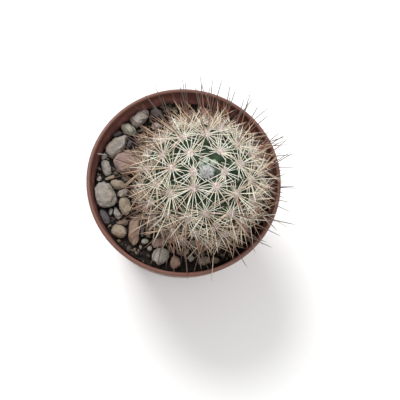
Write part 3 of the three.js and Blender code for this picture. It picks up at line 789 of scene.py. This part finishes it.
class CACTUS_OT_soil(bpy.types.Operator):
    """Make the soil with its crumbs and fine grit"""

    bl_idname = "cactus.soil"
    bl_label = "Make Soil"

    seed = 7
    tries = 60  # places tried for each grain before the soil counts as full
    skirt = 0.9 * MM  # depth under the soil's level down to which its surface is broken up
    clod = 1.6 * MM  # size of the rises and dips
    highest = 0.8  # most that a rise may have of the roughness
    under_plant = 0.86  # share of the body's radius that keeps grains off
    bare_front = (-16 * MM, -6 * MM)  # Y where the grit is thinnest, and where it is full again
    thinnest = 0.2  # share of the grit that lies there
    apart = 0.45  # distance of a grain from the stones against its length

    def surface(self, soil):
        """The soil's body, with its open surface broken up."""
        bm = cad_copy("soil")
        top = soil.level - self.skirt
        edges = [edge for edge in bm.edges if all(point.co.z > top for point in edge.verts)]
        bmesh.ops.subdivide_edges(bm, edges=edges, cuts=5, use_grid_fill=True)
        for point in bm.verts:
            if point.co.z > top:
                rise = noise.fractal(point.co / self.clod, 1.0, 2.0, 4)
                point.co.z += soil.roughness * min(self.highest, rise)
        return bm

    def scattered(self, settings, draws, number, sizes, rarity, lift, stones=None):
        """Placings of grains at random on the open soil; grit also keeps clear of the stones."""
        plant, level = settings.plant, settings.soil.level
        edge = inside_wall(settings.pot, level)
        placings = []
        for _ in range(self.tries * number):
            radius = edge * math.sqrt(draws.random())
            turn = draws.uniform(0, FULL_TURN)
            place = Vector((radius * math.cos(turn), radius * math.sin(turn), level))
            size = sizes[0] + (sizes[1] - sizes[0]) * draws.random() ** rarity
            from_plant = math.hypot(place.x - plant.x, place.y - plant.y)
            if from_plant < plant.valley * self.under_plant or radius > edge - size / 2:
                continue
            place.z += lift * size
            if stones:
                if stones.find_nearest(place, self.apart * size)[0]:
                    continue
                share_here = self.thinnest + (1 - self.thinnest) * smooth_step(place.y, *self.bare_front)
                if draws.random() > share_here:
                    continue
            placings.append((self.grain_move(place, size, draws), draws.random()))
            if len(placings) == number:
                break
        if len(placings) < number:
            raise RuntimeError("the open soil has no room for its grains")
        return placings

    def grain_move(self, place, size, draws):
        """Takes a ball to a rough, turned grain."""
        turn = Matrix.Rotation(draws.uniform(0, FULL_TURN), 3, "Z")
        tilt = Matrix.Rotation(draws.uniform(-0.6, 0.6), 3, "X")
        halves = Vector((0.5, draws.uniform(0.25, 0.42), draws.uniform(0.16, 0.34))) * size
        offset = Vector((draws.uniform(0, 50), draws.uniform(0, 50), 0))

        def move(point):
            rough = point * (1 + 0.5 * noise.noise(point * 1.7 + offset))
            return place + turn @ (tilt @ (rough * halves))

        return move

    def execute(self, context):
        settings = context.scene.potted_cactus
        soil, slot = settings.soil, NODE_SLOTS["soil"]
        draws = random.Random(self.seed)
        material = soil_finish(soil)
        add_piece("soil_bed", self.surface(soil), material, slot, ["soil"])
        ball = ball_template(1)
        crumbs = self.scattered(settings, draws, soil.crumbs, (soil.crumb_least, soil.crumb_most), 2.2, 0.05)
        add_piece("soil_crumbs", repeated(ball, crumbs), material, slot)
        gravel = bmesh.new()
        for node in STONE_NODES:
            gravel.from_mesh(frame["nodes"][node].data)
        grit = self.scattered(settings, draws, soil.grit, (soil.grit_least, soil.grit_most), 1.5, 0.2,
                              BVHTree.FromBMesh(gravel))
        bm = repeated(ball, grit)
        shade = bm.verts.layers.float.new("shade")
        ages = bm.verts.layers.float["age"]
        for point in bm.verts:
            point[shade] = 0.2 + 0.6 * point[ages]
        add_piece("fine_grit", bm, stone_finish("grit", settings.gravel.tan), "stone_grey")
        return {"FINISHED"}


class CACTUS_OT_gravel(bpy.types.Operator):
    """Make the stones that lie on the soil, each one worn and pitted"""

    bl_idname = "cactus.gravel"
    bl_label = "Make Gravel"

    seed = 19
    softness = (0.12, 0.28, 0.35)  # smoothing after each time that a stone is made finer

    def worn(self, node, gravel, shade_value):
        """A fine stone in the place and shape of a CAD stone."""
        bm = cad_copy(node)
        low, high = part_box(node)
        middle, size = (low + high) / 2, high - low
        for factor in self.softness:
            bmesh.ops.subdivide_edges(bm, edges=bm.edges, cuts=1, use_grid_fill=True)
            bmesh.ops.smooth_vert(bm, verts=bm.verts, factor=factor,
                                  use_axis_x=True, use_axis_y=True, use_axis_z=True)
        points = [point.co for point in bm.verts]
        for axis in range(3):
            least = min(co[axis] for co in points)
            most = max(co[axis] for co in points)
            for co in points:
                co[axis] = low[axis] + (co[axis] - least) * size[axis] / (most - least)
        bm.normal_update()
        swell = gravel.swell * min(size)
        seed = middle / MM
        shade = bm.verts.layers.float.new("shade")
        for point in bm.verts:
            local = (point.co - middle) / MM
            lumps = noise.fractal(local * (4.8 * MM / size.length) + seed, 1.0, 2.0, 4)
            chips = abs(noise.noise(local * 0.9 + seed * 1.3))
            pits = abs(noise.noise(local * 3.1 + seed))
            point.co += point.normal * (swell * (lumps - 0.3 - 0.9 * chips) - gravel.pitting * pits)
            point[shade] = shade_value
        return bm

    def execute(self, context):
        if not STONE_NODES:
            raise RuntimeError("the frame has no stones to dress")
        gravel = context.scene.potted_cactus.gravel
        tones = ("grey", "pale", "tan", "pink", "orange", "brown", "slate")
        finishes = {f"stone_{tone}": stone_finish(tone, getattr(gravel, tone)) for tone in tones}
        draws = random.Random(self.seed)
        for node in STONE_NODES:
            slot = NODE_SLOTS[node]
            bm = self.worn(node, gravel, draws.uniform(0.82, 1.12))
            add_piece(node.replace("stone", "gravel"), bm, finishes[slot], slot, [node])
        return {"FINISHED"}


class CACTUS_OT_body(bpy.types.Operator):
    """Make the plant's body: a ball of spiralling tubercles on a root"""

    bl_idname = "cactus.body"
    bl_label = "Make Body"

    root_radius = 4.6 * MM  # where the root starts under the body
    root_taper = 1.4  # how fast it thins: 1 makes a straight cone
    wrinkle = 0.05  # unevenness of the skin against the relief
    bare_rise = 0.42  # height of a bare young tubercle against a grown one
    first_rise = 0.45  # height of the youngest tubercle with an areole against a grown one
    grown = 5  # number of the first tubercle at its full height
    underside = (-0.6, -0.4)  # heights on a ball of radius 1 between which the tubercles fade out

    def young_bumps(self, plant):
        """Direction and angular radius of the bare tubercles that are just forming beside the tip."""
        bumps = []
        for from_tip, azimuth, radius in YOUNG_BUMPS:
            way = leaning(plant, math.radians(from_tip), math.radians(azimuth))
            bumps.append((way, math.radians(radius)))
        return bumps

    def execute(self, context):
        plant = context.scene.potted_cactus.plant
        root_top = plant.z - plant.valley * plant.lower
        if root_top <= plant.root_tip:
            raise RuntimeError("the root ends above the body's underside")
        areoles = areole_directions(plant)
        nearby = KDTree(len(areoles))
        for index, direction in enumerate(areoles):
            nearby.insert(direction, index)
        nearby.balance()
        bumps = self.young_bumps(plant)
        bm = bmesh.new()
        bmesh.ops.create_icosphere(bm, subdivisions=7, radius=1)
        height = bm.verts.layers.float.new("height")
        young = bm.verts.layers.float.new("young")
        for point in bm.verts:
            direction = point.co.normalized()
            areole, index, _ = nearby.find(direction)
            rise = 0.5 + 0.5 * math.cos(math.pi * min(1, direction.angle(areole) / plant.reach))
            rise = rise ** 0.8 * (self.first_rise + (1 - self.first_rise) * min(1, index / self.grown))
            for bump, radius in bumps:
                off = direction.angle(bump) / radius
                if off < 1:
                    dome = math.sqrt(1 - off * off)
                    rise = max(rise, 0.05 + self.bare_rise * dome)
                    point[young] = max(point[young], dome)
            rise *= smooth_step(direction.z, *self.underside)
            uneven = self.wrinkle * noise.noise(direction * 14)
            place = on_body(plant, direction, plant.valley + plant.relief * (rise + uneven))
            taper = max(0, 1 - math.hypot(place.x - plant.x, place.y - plant.y) / self.root_radius)
            if direction.z < 0 and taper:
                place.z -= (root_top - plant.root_tip) * taper ** self.root_taper
            point.co = place
            point[height] = rise
        tip = on_body(plant, leaning(plant, 0, 0), plant.valley + 1 * MM)
        add_piece("cactus_body", bm, skin_finish(plant, tip), NODE_SLOTS["cactus"], ["cactus"])
        return {"FINISHED"}


class CACTUS_OT_wool(bpy.types.Operator):
    """Make the felted wool on the areoles and at the growing tip"""

    bl_idname = "cactus.wool"
    bl_label = "Make Wool"

    seed = 23
    sunk = 0.12 * MM  # how far the middle of a cushion lies under the skin

    def pad_move(self, foot, normal, radius, height):
        """Takes a ball to a low cushion of wool."""
        side, ahead = across(normal)

        def move(point):
            rough = 1 + 0.16 * noise.noise(point * 3 + foot / MM)
            return (foot + side * (point.x * rough * radius) + ahead * (point.y * rough * radius)
                    + normal * (point.z * rough * height - self.sunk))

        return move

    def hair_placings(self, cushion, number, hair_length, thickness, draws):
        """Placings of hairs that stand out all over a cushion of (foot, normal, radius, height)."""
        foot, normal, radius, height = cushion
        side, ahead = across(normal)

        def anyhow(most):
            return Vector([draws.uniform(-most, most) for _ in range(3)])

        placings = []
        for _ in range(number):
            turn = draws.uniform(0, FULL_TURN)
            out = math.sqrt(draws.random())
            rise = math.sqrt(max(0, 1 - out * out))
            outward = side * math.cos(turn) + ahead * math.sin(turn)
            root = foot + outward * (out * radius * 0.92) + normal * (rise * height * 0.8 - 0.1 * MM)
            way = outward * (out * draws.uniform(0.5, 1.5)) + normal * (0.4 + rise)
            way = (way + anyhow(0.5)).normalized()
            bow = anyhow(0.35) * hair_length
            move = spike_move(root, way, hair_length * draws.uniform(0.6, 1.25), thickness, bow)
            placings.append((move, draws.random()))
        return placings

    def execute(self, context):
        settings = context.scene.potted_cactus
        plant, wool, slot = settings.plant, settings.wool, NODE_SLOTS["cactus"]
        draws = random.Random(self.seed)
        ball = ball_template(2)
        hair = spike_template(3, [(1, 0), (0.8, 0.5)])
        pads, hairs = [], []
        for index, direction in enumerate(areole_directions(plant)[1:]):
            foot = on_body(plant, direction, plant.valley + plant.relief)
            radius = wool.pad_radius * (0.8 + 0.2 * min(1, index / 3))
            cushion = (foot, body_normal(plant, direction), radius, wool.pad_height)
            pads.append((self.pad_move(*cushion), draws.random()))
            hairs += self.hair_placings(cushion, wool.hairs, wool.hair_length, wool.hair_radius, draws)
        pink = wool_finish("areole_wool", wool.pink, 0.4)
        add_piece("areole_pads", repeated(ball, pads), pink, slot)
        add_piece("areole_hairs", repeated(hair, hairs), pink, slot)

        way = leaning(plant, *(math.radians(value) for value in TUFT_PLACE))
        foot, normal = on_body(plant, way, plant.valley + 0.35 * plant.relief), body_normal(plant, way)
        cushion = (foot, normal, wool.crown_radius, wool.crown_height)
        tuft = self.hair_placings(cushion, wool.crown_hairs, wool.crown_hair_length,
                                  0.6 * wool.hair_radius, draws)
        core = self.pad_move(foot, normal, 0.7 * wool.crown_radius, 0.8 * wool.crown_height)
        white = wool_finish("crown_wool", wool.white, 0.15)
        add_piece("crown_pad", repeated(ball, [(core, 0)]), white, slot)
        add_piece("crown_tuft", repeated(hair, tuft), white, slot)
        return {"FINISHED"}


class CACTUS_OT_needles(bpy.types.Operator):
    """Make the needles: the CAD needles, finer, and more between them"""

    bl_idname = "cactus.needles"
    bl_label = "Make Needles"

    seed = 34
    sharp = 0.985  # least cosine between the edges at a needle's tip and their mean
    outreach = 0.02  # how far a tip may be outside the CAD box, against the box's sides
    untested = 0.8 * MM  # stretch at a needle's foot, among its own wool
    bend, bends = 0.16, 14  # how far a needle in something's way is turned up, and how often
    rises = {"radial": (8, 26), "lateral": (30, 50), "central": (50, 76)}  # degrees off the skin
    spreads = {"radial": (0.82, 1.15), "lateral": (0.7, 1.15), "central": (0.8, 1.1)}  # of the length
    ageing = 34  # number of the areole from which needles are old
    thinning = (14, 40)  # numbers of the areoles between which the radials thin out
    balding = (20, 40)  # numbers of the areoles between which half of the laterals go
    back_centrals, back_stretch = 1.5, 0.25  # centrals more, and share longer, on the back

    def cad_needles(self):
        """The (tip, direction) of each needle of the CAD plant, read off its sharp points."""
        found = []
        bm = cad_copy("cactus")
        for point in bm.verts:
            back = [(edge.other_vert(point).co - point.co).normalized() for edge in point.link_edges]
            mean = sum(back, Vector()).normalized()
            if all(way.dot(mean) > self.sharp for way in back):
                found.append((point.co.copy(), -mean))
        bm.free()
        return found

    def rooted(self, feet, tip, direction):
        """The number of the areole that a CAD needle grows from."""
        best = (math.inf, 0)
        for index, foot in enumerate(feet):
            reach = (tip - foot).dot(direction)
            if reach > 0:
                best = min(best, ((tip - direction * reach - foot).length, index))
        return best[1]

    def has_room(self, obstacles, root, direction, run, settings):
        """Whether nothing is in a needle's way, and its tip is in or over the pot, not far out."""
        clear = settings.needles.clear
        start = root + direction * self.untested
        if any(tree.ray_cast(start, direction, run - self.untested + clear)[0] for tree in obstacles):
            return False
        tip = root + direction * run
        for axis in range(3):
            spare = (CAD_BOX[1][axis] - CAD_BOX[0][axis]) * self.outreach
            if not CAD_BOX[0][axis] - spare <= tip[axis] <= CAD_BOX[1][axis] + spare:
                return False
        over_pot = tip.z > settings.pot.height + clear
        in_pot = math.hypot(tip.x, tip.y) < inside_wall(settings.pot, tip.z) - clear
        return tip.z >= settings.soil.level + clear and (over_pot or in_pot)

    def bent_clear(self, obstacles, root, direction, run, settings):
        """Bends a needle up until it has room; None where it can't be cleared."""
        bent = direction.copy()
        for _ in range(self.bends):
            if self.has_room(obstacles, root, bent, run, settings):
                return bent
            bent = (bent + UP * self.bend).normalized()
        return None

    def free_turns(self, taken, spacing, draws):
        """Angles that fill a wheel of needles evenly, between those that are there."""
        if not taken:
            start, steps = draws.uniform(0, spacing), range(round(FULL_TURN / spacing))
            return [start + spacing * (step + draws.uniform(-0.2, 0.2)) for step in steps]
        turns = sorted(taken)
        free = []
        for turn, following in zip(turns, turns[1:] + [turns[0] + FULL_TURN]):
            parts = round((following - turn) / spacing)
            for part in range(1, parts):
                free.append(turn + (following - turn) * (part + draws.uniform(-0.2, 0.2)) / parts)
        return free

    def over_crown(self, plant, root, direction, run, clear):
        """Whether a needle reaches over the growing tip, seen along the tip's own line."""
        middle = plant_middle(plant)
        axis = (on_body(plant, leaning(plant, 0, 0), 1) - middle).normalized()
        start = root - middle
        start -= axis * start.dot(axis)
        flat = direction - axis * direction.dot(axis)
        near = min(run, max(0, -start.dot(flat) / flat.length_squared))
        return (start + flat * near).length < clear

    def age_and_painted_shading_of(self, index, way, draws, kind):
        """From 0, young and pale, to 1, old and dark: by its place, its side and a draw. Radials that point
        left or to the front come out older, towards the front as painted shade; slanting needles that point
        to the back come out older as painted light.
        """
        grown = min(1, index / self.ageing)
        if kind == "radial":
            # Painted shade: radials that point to the front are made older and darker; those that point left
            # too.
            age = 0.05 + grown * (0.5 - 0.24 * way.x - 0.2 * way.y) + draws.uniform(-0.3, 0.4)
        elif kind == "lateral":
            # Painted light: slanting needles that point to the back, towards the key lamp, are made older
            # and so more rust-coloured.
            age = grown * (0.3 + 0.7 * max(0, way.y)) + draws.uniform(-0.15, 0.25)
        else:
            age = draws.uniform(0.1, 0.9)
        return min(1, max(0, age))

    def execute(self, context):
        settings = context.scene.potted_cactus
        plant, needles = settings.plant, settings.needles
        draws = random.Random(self.seed)
        areoles = areole_directions(plant)
        feet = [on_body(plant, areole, plant.valley + plant.relief) for areole in areoles]
        obstacles = [BVHTree.FromBMesh(cad_copy(node)) for node in ("pot", "soil", *STONE_NODES)]
        placings = {"radial": [], "lateral": [], "central": []}
        lengths = {kind: getattr(needles, f"{kind}_length") for kind in placings}
        radii = {kind: getattr(needles, f"{kind}_radius") for kind in placings}
        taken = {index: [] for index in range(len(areoles))}

        def add(index, base, way, run, kind):
            """Places a needle from where it leaves the wool, with its root sunk in."""
            root = base - way * needles.sunk
            whole = run + needles.sunk
            bow = areoles[index].cross(way) * (whole * draws.uniform(-0.05, 0.05))
            bow -= UP * (whole * draws.uniform(0, 0.04))
            move = spike_move(root, way, whole, radii[kind] * draws.uniform(0.85, 1.1), bow)
            placings[kind].append((move, self.age_and_painted_shading_of(index, way, draws, kind)))

        for tip, direction in self.cad_needles():
            index = self.rooted(feet, tip, direction)
            normal = body_normal(plant, areoles[index])
            slope = direction.dot(normal)
            kind = "radial" if slope < LATERAL_SLOPE else "lateral" if slope < CENTRAL_SLOPE else "central"
            if kind == "radial":
                side, ahead = wheel_axes(normal)
                taken[index].append(math.atan2(direction.dot(ahead), direction.dot(side)) % FULL_TURN)
            outward = (direction - normal * slope).normalized()
            base = feet[index] + outward * needles.setback
            add(index, base, (tip - base).normalized(), (tip - base).length, kind)

        for index, areole in enumerate(areoles[1:], start=1):
            grown = min(1, index / needles.grown)
            growth = needles.young_length + (1 - needles.young_length) * grown
            normal = body_normal(plant, areole)
            side, ahead = wheel_axes(normal)
            at_back = max(0, areole.y)

            def grow(turn, kind, stretch, longer=0):
                """Adds a needle that points a way round the wheel, where there is room for it."""
                rise = math.radians(draws.uniform(*self.rises[kind]))
                run = lengths[kind] * growth * stretch * (draws.uniform(*self.spreads[kind]) + longer)
                outward = side * math.cos(turn) + ahead * math.sin(turn)
                way = (outward * math.cos(rise) + normal * math.sin(rise)).normalized()
                base = feet[index] + outward * needles.setback
                way = self.bent_clear(obstacles, base, way, run, settings)
                if way and not self.over_crown(plant, base, way, run, needles.bare_crown):
                    add(index, base, way, run, kind)

            number = needles.young_radials + (needles.radials - needles.young_radials) * grown
            number += (needles.old_radials - needles.radials) * smooth_step(index, *self.thinning)
            for turn in self.free_turns(taken[index], FULL_TURN / number, draws):
                stretch = 1 + (needles.upper_radials - 1) * (0.5 + 0.5 * math.sin(turn))
                grow(turn, "radial", stretch)
            number = needles.laterals * grown * (1 - 0.5 * smooth_step(index, *self.balding))
            for _ in range(round(number)):
                grow(draws.uniform(0, FULL_TURN), "lateral", 1 + 0.2 * at_back)
            if index >= needles.first_central:
                number = needles.centrals + self.back_centrals * at_back
            else:
                number = 0
            for _ in range(int(number + draws.random())):
                grow(draws.uniform(0, FULL_TURN), "central", 1, self.back_stretch * at_back)

        shed = needles.shed_head - needles.shed_foot
        laid = spike_move(needles.shed_foot, shed.normalized(), shed.length, 0.75 * needles.radial_radius)
        placings["radial"].append((laid, 0))
        finishes = {"radial": radial_finish, "lateral": lateral_finish, "central": central_finish}
        spike = spike_template(5, [(1, 0), (0.9, 0.45), (0.6, 0.85)])
        slot = NODE_SLOTS["cactus"]
        for kind, found in placings.items():
            if not found:
                raise RuntimeError(f"the plant has no {kind} needles")
            add_piece(f"{kind}_needles", repeated(spike, found), finishes[kind](needles), slot)
        return {"FINISHED"}


class CACTUS_OT_stage(bpy.types.Operator):
    """Make the pale ground, the soft light and the camera"""

    bl_idname = "cactus.stage"
    bl_label = "Make Stage"

    def lamp(self, name, size, power, place, target):
        """A large soft lamp that points at the pot."""
        light = bpy.data.lights.new(name, "AREA")
        light.shape = "DISK"
        light.size = size
        light.energy = power
        lamp = bpy.data.objects.new(name, light)
        lamp.location = place
        lamp.rotation_euler = (target - lamp.location).to_track_quat("-Z", "Y").to_euler()
        bpy.context.scene.collection.objects.link(lamp)

    def view_axes(self, ahead):
        """Right and up in the picture of a camera that looks this way."""
        right = ahead.cross(Vector((0, 1, 0))).normalized()
        return right, right.cross(ahead)

    def camera(self, stage, rim):
        """The camera, aimed so that the rim's middle lies where the picture has it."""
        data = bpy.data.cameras.new("camera")
        data.lens = stage.lens
        data.clip_start = 10 * MM
        camera = bpy.data.objects.new("camera", data)
        back = Vector((
            -math.sin(stage.azimuth) * math.cos(stage.elevation),
            -math.cos(stage.azimuth) * math.cos(stage.elevation),
            math.sin(stage.elevation),
        ))
        per_pixel = data.sensor_width * stage.distance / (stage.lens * stage.picture)
        right, upward = self.view_axes(-back)
        aim = (rim + right * ((stage.picture / 2 - stage.rim_x) * per_pixel)
               - upward * ((stage.picture / 2 - stage.rim_y) * per_pixel))
        camera.location = rim + back * stage.distance
        ahead = (aim - camera.location).normalized()
        camera.rotation_euler = Matrix((*self.view_axes(ahead), -ahead)).transposed().to_euler()
        bpy.context.scene.collection.objects.link(camera)
        bpy.context.scene.camera = camera

    def execute(self, context):
        stage = context.scene.potted_cactus.stage
        bm = bmesh.new()
        bmesh.ops.create_circle(bm, cap_ends=True, segments=96, radius=stage.ground_radius)
        ground = add_piece("ground", bm, ground_finish(stage.ground))
        world = bpy.data.worlds.new("soft_sky")
        world.use_nodes = True
        sky = world.node_tree.nodes["Background"]
        sky.inputs["Color"].default_value = (1, 1, 1, 1)
        sky.inputs["Strength"].default_value = stage.sky
        context.scene.world = world
        context.scene.view_settings.view_transform = "Standard"
        rim = Vector((0, 0, POT_BOX[1].z))
        self.lamp("key_lamp", stage.key_size, stage.key, Vector(stage.key_place), rim)
        self.lamp("fill_lamp", stage.fill_size, stage.fill, Vector(stage.fill_place), rim)
        self.camera(stage, rim)
        return {"FINISHED"}


class CACTUS_PT_panel(bpy.types.Panel):
    """Lists the pieces that can be made, and their sizes and colours"""

    bl_label = "Potted Round Cactus"
    bl_idname = "CACTUS_PT_panel"
    bl_space_type = "VIEW_3D"
    bl_region_type = "UI"
    bl_category = "Cactus"

    def draw(self, context):
        for operator in OPERATORS:
            self.layout.operator(operator.bl_idname)
        settings = context.scene.potted_cactus
        for group in settings.__annotations__:
            box = self.layout.box()
            box.label(text=group.capitalize())
            values = getattr(settings, group)
            for name in values.__annotations__:
                box.prop(values, name)


OPERATORS = (
    CACTUS_OT_stage, CACTUS_OT_pot, CACTUS_OT_soil, CACTUS_OT_gravel,
    CACTUS_OT_body, CACTUS_OT_wool, CACTUS_OT_needles,
)
CLASSES = (
    PotSettings, SoilSettings, GravelSettings, PlantSettings, WoolSettings, NeedleSettings,
    StageSettings, PottedCactusSettings, *OPERATORS, CACTUS_PT_panel,
)


def register():
    for cls in CLASSES:
        bpy.utils.register_class(cls)
    bpy.types.Scene.potted_cactus = PointerProperty(type=PottedCactusSettings)


def unregister():
    del bpy.types.Scene.potted_cactus
    for cls in reversed(CLASSES):
        bpy.utils.unregister_class(cls)


def main():
    """Makes every piece in order."""
    register()
    for operator in OPERATORS:
        group, name = operator.bl_idname.split(".")
        getattr(getattr(bpy.ops, group), name)()


if __name__ == "__main__":
    main()
